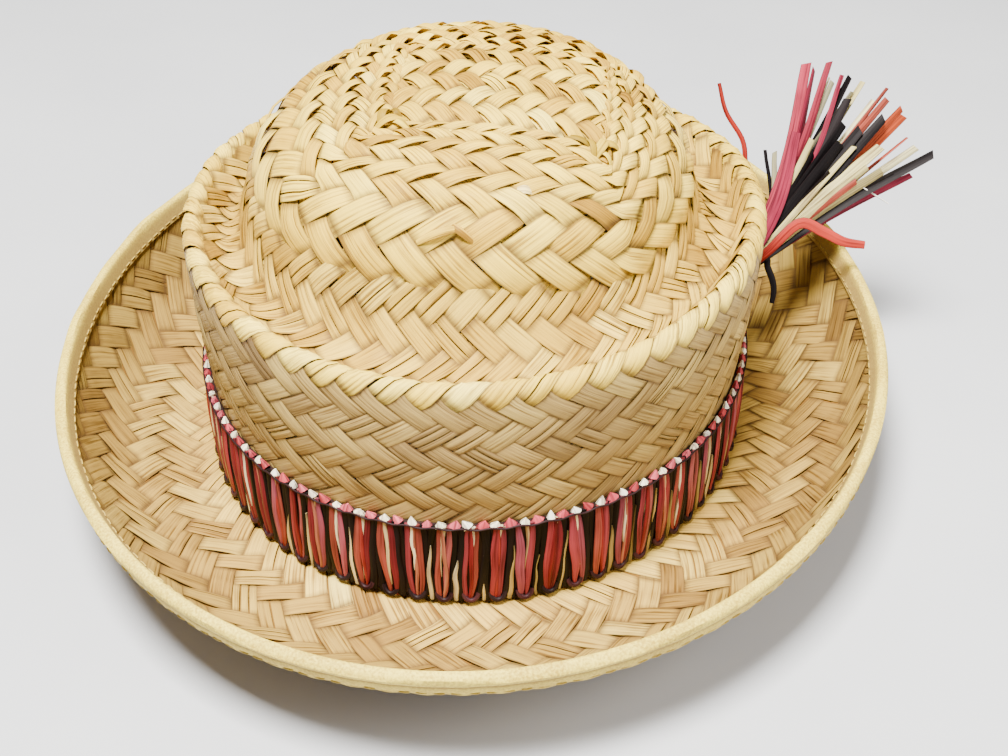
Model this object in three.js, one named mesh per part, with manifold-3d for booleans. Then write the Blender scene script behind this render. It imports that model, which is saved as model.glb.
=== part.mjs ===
// Woven palm hat with a telescope crown and a turned-up brim.
// Millimetres, +Z up. The front of the hat faces -Y and the wearer's left is +X.
// The origin is the middle of the head opening, on the plane that the brim rests on.
import * as THREE from "three";
import { mergeVertices } from "three/addons/utils/BufferGeometryUtils.js";
import Module from "manifold-3d";

// Driving dimensions
const HEAD_WIDTH = 168; // inside the crown's foot, ear to ear
const HEAD_LENGTH = 198; // inside the crown's foot, brow to nape
const STRAW = 2; // woven palm wall
const GAP = 0.3; // clearance between neighbouring pieces
const SEGMENTS = 56; // facets round the straw

const FOOT_WIDTH = HEAD_WIDTH / 2 + STRAW;
const FOOT_LENGTH = HEAD_LENGTH / 2 + STRAW;

// Outside of the crown's wall, from the foot up: growth over the foot, and height
const WALL_SECTIONS = [
  { widen: 0, lengthen: 0, sideHeight: STRAW + GAP, endHeight: STRAW + GAP },
  { widen: 0, lengthen: 0, sideHeight: 20, endHeight: 20 },
  { widen: 0.7, lengthen: 0.3, sideHeight: 34, endHeight: 34 },
  { widen: 3.2, lengthen: 0.7, sideHeight: 53, endHeight: 51 },
];

// Rolled ridge at the top of the wall, higher over the ears than at front and back
const RIDGE = { halfWidth: 87, halfLength: 96.4, roll: 4, rise: 5, sideHeight: 77.5, endHeight: 71 };
const RIDGE_ANGLES = [0, 30, 60, 90, 118, 145, 170];

// Groove between the ridge and the dome
const GROOVE = { halfWidth: 76.4, halfLength: 83.8, sideHeight: 72.2, endHeight: 69.8, shiftX: -1, shiftY: 2 };

// Dome that rises out of the groove: a superellipse that is steep at its foot and flat on top
const DOME = { halfWidth: 71.5, halfLength: 76, foot: 72, rise: 49, shiftX: -2, shiftY: 4 };
const DOME_PLAN_POWER = 2.6;
const DOME_RISE_POWER = 2.35;
const DOME_REACH = [0.995, 0.965, 0.91, 0.83, 0.72, 0.58, 0.42, 0.22, 0];

// Top of the brim, from the rim in to the head opening
const BRIM_SECTIONS = [
  { halfWidth: 130.2, halfLength: 159.6, height: 35.4 },
  { halfWidth: 128.9, halfLength: 157.6, height: 31.6 },
  { halfWidth: 127.7, halfLength: 155.6, height: 29.0 },
  { halfWidth: 123.2, halfLength: 148.4, height: 20.0 },
  { halfWidth: 118.0, halfLength: 140.6, height: 13.2 },
  { halfWidth: 111.0, halfLength: 130.6, height: 8.0 },
  { halfWidth: 103.4, halfLength: 119.6, height: 4.2 },
  { halfWidth: 97.0, halfLength: 111.6, height: STRAW },
  { halfWidth: 91.0, halfLength: 105.6, height: STRAW },
  { halfWidth: HEAD_WIDTH / 2, halfLength: HEAD_LENGTH / 2, height: STRAW },
];
const BRIM_TILT = 0.075; // extra rise at the back of the rim, and as much less at the front

const TAPE = 0.9; // folded tape that binds the rim
const TAPE_ROWS = [0, 1, 2]; // brim sections that the tape covers

// Raffia band at the crown's foot, pinched into ribs. It leans out with the wall above it.
const BAND = { low: 3.2, high: 31.6, picot: 1.9, lean: 1, ribs: 77, ribDepth: 1.7, valleyDepth: 1 };

// Raffia tassel tied to the band on the wearer's left
const TASSEL = { bearing: 18, heading: 5, lean: 30, height: 34, head: { out: 3, across: 5, tall: 7 } };
const STRIP = { width: 2.6, tip: 1.7, thickness: 0.9, stations: 5 };
const STRIP_SPLAY = 9; // neighbouring strips stand this far in front of and behind the fan, in degrees

// Locks of the tassel: how many strips, the fan of angles that they fill, and their reach
const LOCKS = [
  { strips: 5, fanFrom: 76, fanTo: 62, length: 82, sag: 2 },
  { strips: 4, fanFrom: 60, fanTo: 50, length: 76, sag: 2 },
  { strips: 4, fanFrom: 49, fanTo: 40, length: 80, sag: 3 },
  { strips: 5, fanFrom: 39, fanTo: 29, length: 82, sag: 4 },
  { strips: 2, fanFrom: 22, fanTo: 14, length: 50, sag: 10 },
];

const FINISHES = {
  straw: { color: 0xd6b271, roughness: 0.55 },
  tape: { color: 0xe8dcab, roughness: 0.7 },
  band: { color: 0x8a3a33, roughness: 0.65 },
  tassel: { color: 0xb8665a, roughness: 0.6 },
};

const WELD = 1e-4; // points nearer than this are one vertex

const radians = THREE.MathUtils.degToRad;

// A point of an oval section. Its height swings between the sides and the ends.
function ovalPoint({ halfWidth, halfLength, sideHeight, endHeight, shiftX = 0, shiftY = 0 }, angle) {
  const middle = (sideHeight + endHeight) / 2;
  const swing = (sideHeight - endHeight) / 2;
  return new THREE.Vector3(
    shiftX + halfWidth * Math.cos(angle),
    shiftY + halfLength * Math.sin(angle),
    middle + swing * Math.cos(2 * angle),
  );
}

function segmentAngle(index, segments) {
  return (2 * Math.PI * index) / segments;
}

// Rows of points, one row for each section
function surfaceGrid(sections, pointAt) {
  return sections.map((section) =>
    Array.from({ length: SEGMENTS }, (_, i) => pointAt(section, segmentAngle(i, SEGMENTS))),
  );
}

// Normals of a grid, from the neighbours along and across each row
function gridNormals(grid) {
  const last = grid.length - 1;
  return grid.map((row, r) =>
    row.map((_, i) => {
      const before = row[(i + SEGMENTS - 1) % SEGMENTS];
      const after = row[(i + 1) % SEGMENTS];
      const round = new THREE.Vector3().subVectors(after, before);
      const along = new THREE.Vector3().subVectors(grid[Math.min(r + 1, last)][i], grid[Math.max(r - 1, 0)][i]);
      return new THREE.Vector3().crossVectors(round, along).normalize();
    }),
  );
}

function offsetGrid(grid, normals, distance) {
  return grid.map((row, r) => row.map((point, i) => point.clone().addScaledVector(normals[r][i], distance)));
}

function column(grid, index) {
  return grid.map((row) => row[index]);
}

// A closed ring through one closed section loop for each segment. Loops run anticlockwise as seen
// with the outside of the hat on the right. Triangles that shrink to a line at a pole are left out.
function ringGeometry(loops) {
  const positions = [];
  const addTriangle = (a, b, c) => {
    const shortest = Math.min(a.distanceTo(b), b.distanceTo(c), c.distanceTo(a));
    if (shortest > WELD) positions.push(...a, ...b, ...c);
  };
  loops.forEach((loop, i) => {
    const next = loops[(i + 1) % loops.length];
    loop.forEach((point, j) => {
      const k = (j + 1) % loop.length;
      addTriangle(point, next[j], next[k]);
      addTriangle(point, next[k], loop[k]);
    });
  });
  return weld(positions);
}

function weld(positions) {
  const geometry = new THREE.BufferGeometry();
  geometry.setAttribute("position", new THREE.Float32BufferAttribute(positions, 3));
  return mergeVertices(geometry, WELD);
}

function makeMesh(name, geometry, finish) {
  geometry.computeVertexNormals();
  const material = new THREE.MeshStandardMaterial({ ...finish, metalness: 0 });
  const mesh = new THREE.Mesh(geometry, material);
  mesh.name = name;
  return mesh;
}

// Crown: wall, rolled ridge, groove and dome as one woven wall
function crownSections() {
  const wall = WALL_SECTIONS.map(({ widen, lengthen, sideHeight, endHeight }) => ({
    halfWidth: FOOT_WIDTH + widen,
    halfLength: FOOT_LENGTH + lengthen,
    sideHeight,
    endHeight,
  }));
  const ridge = RIDGE_ANGLES.map(radians).map((turn) => ({
    halfWidth: RIDGE.halfWidth + RIDGE.roll * Math.cos(turn),
    halfLength: RIDGE.halfLength + RIDGE.roll * Math.cos(turn),
    sideHeight: RIDGE.sideHeight + RIDGE.rise * Math.sin(turn),
    endHeight: RIDGE.endHeight + RIDGE.rise * Math.sin(turn),
  }));
  const dome = DOME_REACH.map((reach) => {
    const height = DOME.foot + DOME.rise * (1 - reach ** DOME_PLAN_POWER) ** (1 / DOME_RISE_POWER);
    return {
      halfWidth: DOME.halfWidth * reach,
      halfLength: DOME.halfLength * reach,
      sideHeight: height,
      endHeight: height,
      shiftX: DOME.shiftX,
      shiftY: DOME.shiftY,
    };
  });
  return [...wall, ...ridge, GROOVE, ...dome];
}

function crownGeometry() {
  const outside = surfaceGrid(crownSections(), ovalPoint);
  const normals = gridNormals(outside);
  normals.at(-1).forEach((normal) => normal.set(0, 0, 1));
  normals[0].forEach((normal) => normal.setZ(0).normalize());
  const inside = offsetGrid(outside, normals, -STRAW);
  return ringGeometry(outside[0].map((_, i) => [...column(outside, i), ...column(inside, i).reverse()]));
}

// Brim: a shallow bowl, flat underneath round the head opening
function brimPoint({ halfWidth, halfLength, height }, angle) {
  const rise = height - STRAW;
  const tilted = STRAW + rise * (1 + BRIM_TILT * Math.sin(angle));
  return ovalPoint({ halfWidth, halfLength, sideHeight: tilted, endHeight: tilted }, angle);
}

function brimSurfaces() {
  const top = surfaceGrid(BRIM_SECTIONS, brimPoint);
  const normals = gridNormals(top);
  return { top, normals, under: offsetGrid(top, normals, -STRAW) };
}

function brimGeometry({ top, under }) {
  return ringGeometry(top[0].map((_, i) => [...column(top, i), ...column(under, i).reverse()]));
}

// Binding: tape folded over the rim, with a flange on each face of the brim
function bindingGeometry({ top, normals, under }) {
  const loopAt = (_, i) => {
    const rimwards = new THREE.Vector3().subVectors(top[0][i], top[1][i]).normalize();
    const face = (grid, row, distance) => grid[row][i].clone().addScaledVector(normals[row][i], distance);
    const flange = (grid, distance, overEdge) => {
      const points = TAPE_ROWS.map((row) => face(grid, row, distance));
      points[0].addScaledVector(rimwards, overEdge);
      return points;
    };
    const fold = new THREE.Vector3().addVectors(top[0][i], under[0][i]).multiplyScalar(0.5);
    fold.addScaledVector(rimwards, GAP + TAPE);
    return [
      ...flange(under, -GAP - TAPE, GAP).reverse(),
      fold,
      ...flange(top, GAP + TAPE, GAP),
      ...flange(top, GAP, GAP).reverse(),
      ...flange(under, -GAP, GAP),
    ];
  };
  return ringGeometry(top[0].map(loopAt));
}

// Hat band: upright ribs with a picot on each rib's head and a scallop at its foot
function bandGeometry() {
  const point = (angle, depth, height) =>
    ovalPoint(
      { halfWidth: FOOT_WIDTH + depth, halfLength: FOOT_LENGTH + depth, sideHeight: height, endHeight: height },
      angle,
    );
  const segments = 2 * BAND.ribs;
  const loopAt = (_, i) => {
    const angle = segmentAngle(i, segments);
    const isRib = i % 2 === 0;
    const depth = GAP + (isRib ? BAND.ribDepth : BAND.valleyDepth);
    const low = BAND.low + (isRib ? 0 : BAND.picot / 2);
    const high = BAND.high + (isRib ? BAND.picot : 0);
    return [
      point(angle, depth, low),
      point(angle, depth, (low + high) / 2),
      point(angle, depth + BAND.lean, high),
      point(angle, GAP + BAND.lean, high),
      point(angle, GAP, low),
    ];
  };
  return ringGeometry(Array.from({ length: segments }, loopAt));
}

// Tassel, about the middle of its head: +X points away from the crown and +Z up the fan
function stripGeometry(fan, splay, length, sag) {
  const heading = new THREE.Vector3(Math.cos(fan) * Math.cos(splay), Math.sin(splay), Math.sin(fan) * Math.cos(splay));
  const across = new THREE.Vector3(0, 1, 0).cross(heading).normalize();
  const through = new THREE.Vector3().crossVectors(heading, across);
  const corners = [
    [1, 1],
    [-1, 1],
    [-1, -1],
    [1, -1],
  ];
  const rings = Array.from({ length: STRIP.stations }, (_, i) => {
    const share = i / (STRIP.stations - 1);
    const centre = heading.clone().multiplyScalar(length * share);
    centre.z -= sag * share ** 2;
    const halfWidth = THREE.MathUtils.lerp(STRIP.width, STRIP.tip, share) / 2;
    return corners.map(([a, b]) =>
      centre
        .clone()
        .addScaledVector(across, a * halfWidth)
        .addScaledVector(through, (b * STRIP.thickness) / 2),
    );
  });
  const positions = [];
  const addQuad = (a, b, c, d) => positions.push(...a, ...b, ...c, ...a, ...c, ...d);
  rings.slice(1).forEach((ring, i) =>
    ring.forEach((point, j) => {
      const k = (j + 1) % ring.length;
      addQuad(rings[i][j], rings[i][k], ring[k], point);
    }),
  );
  addQuad(...rings[0].toReversed());
  addQuad(...rings.at(-1));
  return weld(positions);
}

function headGeometry() {
  const { out, across, tall } = TASSEL.head;
  const ball = new THREE.SphereGeometry(1, 12, 8).scale(out, across, tall);
  ball.deleteAttribute("normal");
  ball.deleteAttribute("uv");
  return mergeVertices(ball, WELD);
}

const wasm = await Module();
wasm.setup();

function toSolid(geometry) {
  return new wasm.Manifold(
    new wasm.Mesh({
      numProp: 3,
      vertProperties: geometry.getAttribute("position").array,
      triVerts: new Uint32Array(geometry.index.array),
    }),
  );
}

function fromSolid(solid) {
  const { vertProperties, triVerts } = solid.getMesh();
  const geometry = new THREE.BufferGeometry();
  geometry.setAttribute("position", new THREE.BufferAttribute(vertProperties, 3));
  return geometry.setIndex(new THREE.BufferAttribute(triVerts, 1));
}

function tasselGeometry() {
  let tassel = toSolid(headGeometry());
  for (const { strips, fanFrom, fanTo, length, sag } of LOCKS) {
    for (let i = 0; i < strips; i++) {
      const fan = THREE.MathUtils.lerp(fanFrom, fanTo, i / (strips - 1));
      const splay = i % 2 === 0 ? STRIP_SPLAY : -STRIP_SPLAY;
      tassel = tassel.add(toSolid(stripGeometry(radians(fan), radians(splay), length, sag)));
    }
  }
  return fromSolid(tassel);
}

// The tassel's head bears on the outside of the band
function tasselSeat() {
  const bearing = radians(TASSEL.bearing);
  const reach = GAP + BAND.ribDepth + BAND.lean + GAP + TASSEL.head.out;
  const seat = new THREE.Group();
  seat.position.set(
    (FOOT_WIDTH + reach) * Math.cos(bearing),
    (FOOT_LENGTH + reach) * Math.sin(bearing),
    TASSEL.height,
  );
  seat.rotation.z = radians(TASSEL.heading);
  const tassel = makeMesh("tassel", tasselGeometry(), FINISHES.tassel);
  tassel.rotation.x = -radians(TASSEL.lean);
  seat.add(tassel);
  return seat;
}

const hat = new THREE.Group();
const brim = brimSurfaces();
hat.add(
  makeMesh("crown", crownGeometry(), FINISHES.straw),
  makeMesh("brim", brimGeometry(brim), FINISHES.straw),
  makeMesh("brim_binding", bindingGeometry(brim), FINISHES.tape),
  makeMesh("hat_band", bandGeometry(), FINISHES.band),
  tasselSeat(),
);

export default hat;
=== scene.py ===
# %% [markdown]
# # A woven palm hat
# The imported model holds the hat's true form as plain solids. This lesson puts the looks on it: palm
# strips that really pass over and under each other, a sewn tape on the rim, a raffia band and a raffia
# tassel. Sizes are written in millimetres, and every mesh is made in metres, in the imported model's own
# frame.

# %% Load the frame
import math

import bpy
import numpy as np
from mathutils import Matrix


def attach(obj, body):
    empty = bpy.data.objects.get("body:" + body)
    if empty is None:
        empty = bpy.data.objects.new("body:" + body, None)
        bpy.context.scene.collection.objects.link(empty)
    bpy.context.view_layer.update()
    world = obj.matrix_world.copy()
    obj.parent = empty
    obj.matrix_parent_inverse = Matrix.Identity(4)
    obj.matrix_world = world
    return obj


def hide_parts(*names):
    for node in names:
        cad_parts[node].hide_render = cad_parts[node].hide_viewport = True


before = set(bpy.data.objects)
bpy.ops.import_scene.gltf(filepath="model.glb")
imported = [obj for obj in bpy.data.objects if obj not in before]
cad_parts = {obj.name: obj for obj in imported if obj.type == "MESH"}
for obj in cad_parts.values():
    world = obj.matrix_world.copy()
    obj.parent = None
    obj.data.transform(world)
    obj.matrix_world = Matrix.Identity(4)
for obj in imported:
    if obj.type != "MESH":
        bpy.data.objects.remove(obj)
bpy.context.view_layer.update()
MM = 0.001
dice = np.random.default_rng(11)
print("nodes to dress:", sorted(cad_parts))

# %% [markdown]
# The camera comes first, because every later choice is judged through it. It looks from in front of the
# hat, a little to the wearer's left and well above the brim. A long lens keeps the ovals calm. The focal
# length in pixels is turned into a lens for a sensor 36 mm wide, and a small shift moves the picture's
# middle.

# %% Camera
IMAGE_WIDTH = 1008
CAMERA = {"x": 41.6, "y": -414.4, "z": 305.0, "turn": 4.81, "down": 35.41}
FOCAL_PIXELS = 1500
MIDDLE_PIXEL = 497
SENSOR = 36


def make_camera():
    place = [CAMERA[axis] * MM for axis in "xyz"]
    turn = (math.radians(90 - CAMERA["down"]), 0, math.radians(CAMERA["turn"]))
    bpy.ops.object.camera_add(location=place, rotation=turn)
    camera = bpy.context.object
    camera.data.sensor_width = SENSOR
    camera.data.lens = FOCAL_PIXELS * SENSOR / IMAGE_WIDTH
    camera.data.shift_x = (IMAGE_WIDTH / 2 - MIDDLE_PIXEL) / IMAGE_WIDTH
    bpy.context.scene.camera = camera
    return camera


camera = make_camera()
print("lens", round(camera.data.lens, 1), "mm")

# %% [markdown]
# Shader maths reads best as plain expressions. A small class wraps one output socket: adding or
# multiplying two of them adds a Math node behind the scenes. Every other node comes from the one method
# called node.

# %% Shader expressions


class Wire:
    """One output socket of a material's node tree."""

    def __init__(self, tree, socket=None):
        self.tree = tree
        self.socket = socket

    def node(self, kind, settings, inputs, out=0):
        made = self.tree.nodes.new(kind)
        for key, value in settings.items():
            if key == "stops":
                self.set_stops(made.color_ramp, value)
            else:
                setattr(made, key, value)
        for key, value in inputs.items():
            if isinstance(value, Wire):
                self.tree.links.new(value.socket, made.inputs[key])
            else:
                made.inputs[key].default_value = value
        return Wire(self.tree, made.outputs[out])

    def set_stops(self, ramp, stops):
        for place, colour in stops[1:-1]:
            ramp.elements.new(place).color = colour
        for element, (place, colour) in zip(ramp.elements, stops):
            element.position = place
            element.color = colour

    def math(self, operation, first, second):
        return self.node("ShaderNodeMath", {"operation": operation}, {0: first, 1: second})

    def __add__(self, other):
        return self.math("ADD", self, other)

    def __radd__(self, other):
        return self.math("ADD", other, self)

    def __sub__(self, other):
        return self.math("SUBTRACT", self, other)

    def __rsub__(self, other):
        return self.math("SUBTRACT", other, self)

    def __mul__(self, other):
        return self.math("MULTIPLY", self, other)

    def __rmul__(self, other):
        return self.math("MULTIPLY", other, self)

    def mix(self, other, share, blend="MIX"):
        settings = {"data_type": "RGBA", "blend_type": blend}
        return self.node("ShaderNodeMix", settings, {0: share, 6: self, 7: other}, out=2)

    def stretched(self, scale):
        return self.node("ShaderNodeMapping", {}, {"Vector": self, "Scale": scale})

    def noise(self, scale, detail=2.0):
        inputs = {"Vector": self, "Scale": scale, "Detail": detail}
        return self.node("ShaderNodeTexNoise", {}, inputs)


def linear(code):
    """A colour written as on a paint card, such as e9dfb4, in the renderer's own linear values."""
    shares = [int(code[i:i + 2], 16) / 255 for i in (0, 2, 4)]
    return np.array([s / 12.92 if s < 0.04045 else ((s + 0.055) / 1.055) ** 2.4 for s in shares])


def paint(code):
    """The same colour as a node's socket takes it, with full cover."""
    return (*linear(code), 1)


def new_material(name):
    material = bpy.data.materials.new(name)
    material.use_nodes = True
    return material, material.node_tree.nodes["Principled BSDF"], Wire(material.node_tree)


print("shader helper ready")

# %% [markdown]
# Palm and raffia are both split leaf: long fibres, a satin skin and no two strips of one colour. The
# colour of each strip is kept on its mesh as an attribute called dye, and a UV map runs along each strip
# in millimetres. Noise that is stretched along that map makes the fibres, in the colour and in the bump.
# A second attribute, tuck, is 1 where a strip goes under its neighbour, and a third, side, is 1 along a
# strip's two edges. In both places the colour is mixed toward a dark brown: painted shade of the dives
# and of the slits between strips.

# %% Leaf fibre material
COARSE_FIBRE = (0.035, 1.3, 1.0)
FINE_FIBRE = (0.09, 4.2, 1.0)
COARSE_SHARE = 0.72
PATCH = {"scale": 70.0, "share": 0.25}
# Painted shade along each strip's two edges, in the slits between strips.
EDGE_LINE = {"From Min": 0.86, "From Max": 1.0, "To Max": 0.85}
TUCK_PAINTED_SHADE = 0.8
FIBRE_BUMP = 0.55
ROUGHNESS_SWING = 0.25
LEAF_IOR = 1.4
# Each leaf's dark brown for its painted shade, where strips dive and along their edges.
STRAW = {
    "shade": [(0.39, (0.41, 0.32, 0.21, 1)), (0.475, (0.88, 0.80, 0.62, 1)), (0.56, (1.13, 1.05, 0.74, 1))],
    "painted_shade": "5a4026", "roughness": 0.44, "fibre": 0.5, "gloss": 0.2, "sheen": (1, 0.8, 0.42, 1),
}
RAFFIA = {
    "shade": [(0.39, (0.40, 0.32, 0.34, 1)), (0.475, (0.86, 0.84, 0.86, 1)), (0.57, (1.25, 1.25, 1.25, 1))],
    "painted_shade": "1b1211", "roughness": 0.5, "fibre": 0.3, "gloss": 0.14, "sheen": (1, 0.9, 0.85, 1),
}


def leaf_material(name, shade, painted_shade, roughness, fibre, gloss, sheen):
    material, shader, wire = new_material(name)
    dye = wire.node("ShaderNodeAttribute", {"attribute_name": "dye"}, {})
    tuck = wire.node("ShaderNodeAttribute", {"attribute_name": "tuck"}, {}, out=2)
    side = wire.node("ShaderNodeAttribute", {"attribute_name": "side"}, {}, out=2)
    along = wire.node("ShaderNodeUVMap", {"uv_map": "strip"}, {})
    place = wire.node("ShaderNodeTexCoord", {}, {}, out=3)
    coarse = along.stretched(COARSE_FIBRE).noise(1.0, 3.0)
    fine = along.stretched(FINE_FIBRE).noise(1.0)
    patch = place.noise(PATCH["scale"])
    streak = coarse * COARSE_SHARE + fine * (1 - COARSE_SHARE)
    level = streak * (1 - PATCH["share"]) + patch * PATCH["share"]
    dark = wire.node("ShaderNodeValToRGB", {"stops": shade}, {0: level})
    line = wire.node("ShaderNodeMapRange", {}, {"Value": side, **EDGE_LINE})
    # Painted shade: darker where a strip dives under its neighbour and along its edges.
    painted_shade_share = wire.math("MAXIMUM", tuck * TUCK_PAINTED_SHADE, line)
    colour = dye.mix(dark, 1.0, "MULTIPLY").mix(paint(painted_shade), painted_shade_share)
    relief = {"Strength": FIBRE_BUMP, "Distance": fibre * MM, "Height": streak}
    bump = wire.node("ShaderNodeBump", {}, relief)
    links = material.node_tree.links
    links.new(colour.socket, shader.inputs["Base Color"])
    links.new((roughness + ROUGHNESS_SWING * (streak - 0.5)).socket, shader.inputs["Roughness"])
    links.new(bump.socket, shader.inputs["Normal"])
    shader.inputs["Specular IOR Level"].default_value = gloss
    shader.inputs["Specular Tint"].default_value = sheen
    shader.inputs["IOR"].default_value = LEAF_IOR
    return material


straw = leaf_material("palm_leaf", **STRAW)
raffia = leaf_material("dyed_raffia", **RAFFIA)
print("leaf materials:", straw.name, raffia.name)

# %% [markdown]
# The straw's form is a stack of closed rings. Each ring is respaced evenly by its length, starting at the
# front and going anticlockwise, so that a share of the way round means the same thing on every ring. An
# oval rises from its ends to its sides, as the hat's ridge does. The rings are arrays and not a mesh,
# because thousands of strips will ask them for a place and a normal at any row and any share.

# %% Rings and surfaces
ROUND = 720
ALL_ROUND = np.arange(ROUND) / ROUND
STEPS = 8
FRONT = -math.pi / 2


def unit(vectors):
    return vectors / np.linalg.norm(vectors, axis=-1, keepdims=True)


def evenly(ring):
    loop = np.vstack([ring, ring[:1]])
    step = np.linalg.norm(np.diff(loop, axis=0), axis=1)
    length = np.concatenate([[0], np.cumsum(step)])
    even = np.linspace(0, length[-1], ROUND, endpoint=False)
    return np.stack([np.interp(even, length, loop[:, axis]) for axis in range(3)], axis=-1)


def oval(half_width, half_length, side_height, end_height, shift_x=0, shift_y=0):
    angle = FRONT + 2 * math.pi * np.arange(ROUND) / ROUND
    height = (side_height + end_height) / 2 + (side_height - end_height) / 2 * np.cos(2 * angle)
    x = shift_x + half_width * np.cos(angle)
    y = shift_y + half_length * np.sin(angle)
    return evenly(np.stack([x, y, height], axis=-1))


def respaced(rings, pitches):
    """Rings that follow each meridian row by row, in steps of equal length within a row of the weave."""
    step = np.linalg.norm(np.diff(rings, axis=0), axis=2)
    length = np.concatenate([np.zeros((1, ROUND)), np.cumsum(step, axis=0)])
    share = length / length[-1]
    edges = np.concatenate([[0], np.cumsum(pitches)]) / np.sum(pitches)
    target = np.interp(np.arange(len(pitches) * STEPS + 1) / STEPS, np.arange(len(edges)), edges)
    spaced = np.empty((len(target), ROUND, 3))
    for place in range(ROUND):
        for axis in range(3):
            spaced[:, place, axis] = np.interp(target, share[:, place], rings[:, place, axis])
    return spaced


class Surface:
    """A skin of rings that can be read at any row and at any share of the way round."""

    def __init__(self, rings, first_row):
        self.rings = rings
        self.first_row = first_row
        around = np.roll(rings, -1, axis=1) - np.roll(rings, 1, axis=1)
        self.normals = unit(np.cross(np.gradient(rings, axis=0), around))

    def read(self, row, share):
        climb = np.clip((row - self.first_row) * STEPS, 0, len(self.rings) - 1.001)
        walk = (share % 1) * ROUND
        low = climb.astype(int)
        left = walk.astype(int) % ROUND
        right = (left + 1) % ROUND
        up = (climb - low)[..., None]
        on = (walk - np.floor(walk))[..., None]
        blends = []
        for grid in (self.rings, self.normals):
            below = grid[low, left] * (1 - on) + grid[low, right] * on
            above = grid[low + 1, left] * (1 - on) + grid[low + 1, right] * on
            blends.append(below * (1 - up) + above * up)
        points, normals = blends
        return points, unit(normals)


print("rings hold", ROUND, "points each")

# %% [markdown]
# The crown is one skin from the middle of the dome to the foot of the wall. A woven hat is started as a
# small flat panel, and the rows then run round it: squarish at first, and oval by the time they reach the
# groove. So the dome's rings slide from the panel's edge to the oval of the dome's foot, and the dome's
# own formula gives their height. The groove is one smooth bend, the ridge is part of a circle and the
# wall is nearly upright. The rows get wider down the dome and narrower again in the groove, as a list of
# pitches says.

# %% Crown surface
DOME = {"half_width": 71.5, "half_length": 76, "foot": 72, "rise": 49, "x": -2, "y": 4}
DOME_PLAN_POWER = 2.6
DOME_RISE_POWER = 2.35
DOME_EDGE = 0.985
DOME_RINGS = 80
PANEL = {"half_width": 30, "half_length": 23, "x": 8.5, "y": -5.4, "turn": 0.5}
GROOVE = oval(76.4, 83.8, 72.2, 69.8, -1, 2)
GROOVE_RINGS = 16
RIDGE = {"half_width": 87, "half_length": 96.4, "roll": 4, "rise": 5, "side": 77.5, "end": 71}
RIDGE_MEETS_GROOVE = 160
RIDGE_FROM, RIDGE_TO = 150, -10
RIDGE_RINGS = 21
WALL = [(89.2, 101.7, 53, 51), (86.7, 101.3, 34, 34), (86, 101, 20, 20), (86, 101, 2.3, 2.3)]
PANEL_EDGE = 3
CAP_PITCHES = [3.8, 4.2, 4.8, 6.0, 5.6, 7.2, 11.2, 10.8, 9.4, 9.2, 8.4, 8.2]
RIDGE_ROW = PANEL_EDGE + len(CAP_PITCHES)
WALL_ROWS = 10
LAST_ROW = RIDGE_ROW + 1 + WALL_ROWS


def dome_height(x, y):
    across = (x - DOME["x"]) / DOME["half_width"]
    along = (y - DOME["y"]) / DOME["half_length"]
    reach = np.minimum(np.hypot(across, along), 1)
    return DOME["foot"] + DOME["rise"] * (1 - reach**DOME_PLAN_POWER) ** (1 / DOME_RISE_POWER)


def dome_normals(x, y, nudge=0.5):
    slope_x = (dome_height(x + nudge, y) - dome_height(x - nudge, y)) / (2 * nudge)
    slope_y = (dome_height(x, y + nudge) - dome_height(x, y - nudge)) / (2 * nudge)
    return unit(np.stack([-slope_x, -slope_y, np.ones_like(x)], axis=-1))


def turned_panel(x, y):
    turn = math.radians(PANEL["turn"])
    turned_x = x * math.cos(turn) - y * math.sin(turn)
    turned_y = x * math.sin(turn) + y * math.cos(turn)
    return PANEL["x"] + turned_x, PANEL["y"] + turned_y


def panel_edge():
    """The panel's outline in plan, with a quarter of the ring on each of its sides."""
    w, l = PANEL["half_width"], PANEL["half_length"]
    corners = [(-w, -l), (w, -l), (w, l), (-w, l)]
    quarter = ROUND // 4
    sides = [np.linspace(corners[i], corners[(i + 1) % 4], quarter, endpoint=False) for i in range(4)]
    outline = np.roll(np.vstack(sides), -quarter // 2, axis=0)
    return np.stack(turned_panel(outline[:, 0], outline[:, 1]), axis=-1)


def dome_rings():
    half_width, half_length = DOME["half_width"] * DOME_EDGE, DOME["half_length"] * DOME_EDGE
    foot = oval(half_width, half_length, 0, 0, DOME["x"], DOME["y"])
    edge = panel_edge()
    rings = []
    for step in np.linspace(0, 1, DOME_RINGS):
        share = 1 - (1 - step) ** 2
        plan = edge + (foot[:, :2] - edge) * share
        rings.append(np.column_stack([plan, dome_height(plan[:, 0], plan[:, 1])]))
    return rings


def ridge_ring(degrees):
    out = RIDGE["roll"] * math.cos(math.radians(degrees))
    up = RIDGE["rise"] * math.sin(math.radians(degrees))
    half_width, half_length = RIDGE["half_width"] + out, RIDGE["half_length"] + out
    return oval(half_width, half_length, RIDGE["side"] + up, RIDGE["end"] + up)


def bend_through(start, middle, end, count):
    """A bend from start to end that passes through middle halfway."""
    control = 2 * middle - (start + end) / 2
    shares = np.linspace(0, 1, count)
    return [(1 - t) ** 2 * start + 2 * t * (1 - t) * control + t**2 * end for t in shares]


def crown_surface():
    cap = dome_rings()
    cap += bend_through(cap[-1], GROOVE, ridge_ring(RIDGE_MEETS_GROOVE), GROOVE_RINGS)[1:]
    ridge = [ridge_ring(degrees) for degrees in np.linspace(RIDGE_FROM, RIDGE_TO, RIDGE_RINGS)]
    cap.append(ridge[0])
    wall = [ridge[-1]] + [oval(*section) for section in WALL]
    parts = [(cap, CAP_PITCHES), (ridge, [1]), (wall, [1] * WALL_ROWS)]
    spaced = [respaced(np.stack(rings), pitches) for rings, pitches in parts]
    return Surface(np.concatenate([spaced[0][:-1], spaced[1][:-1], spaced[2]]), PANEL_EDGE)


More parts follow.
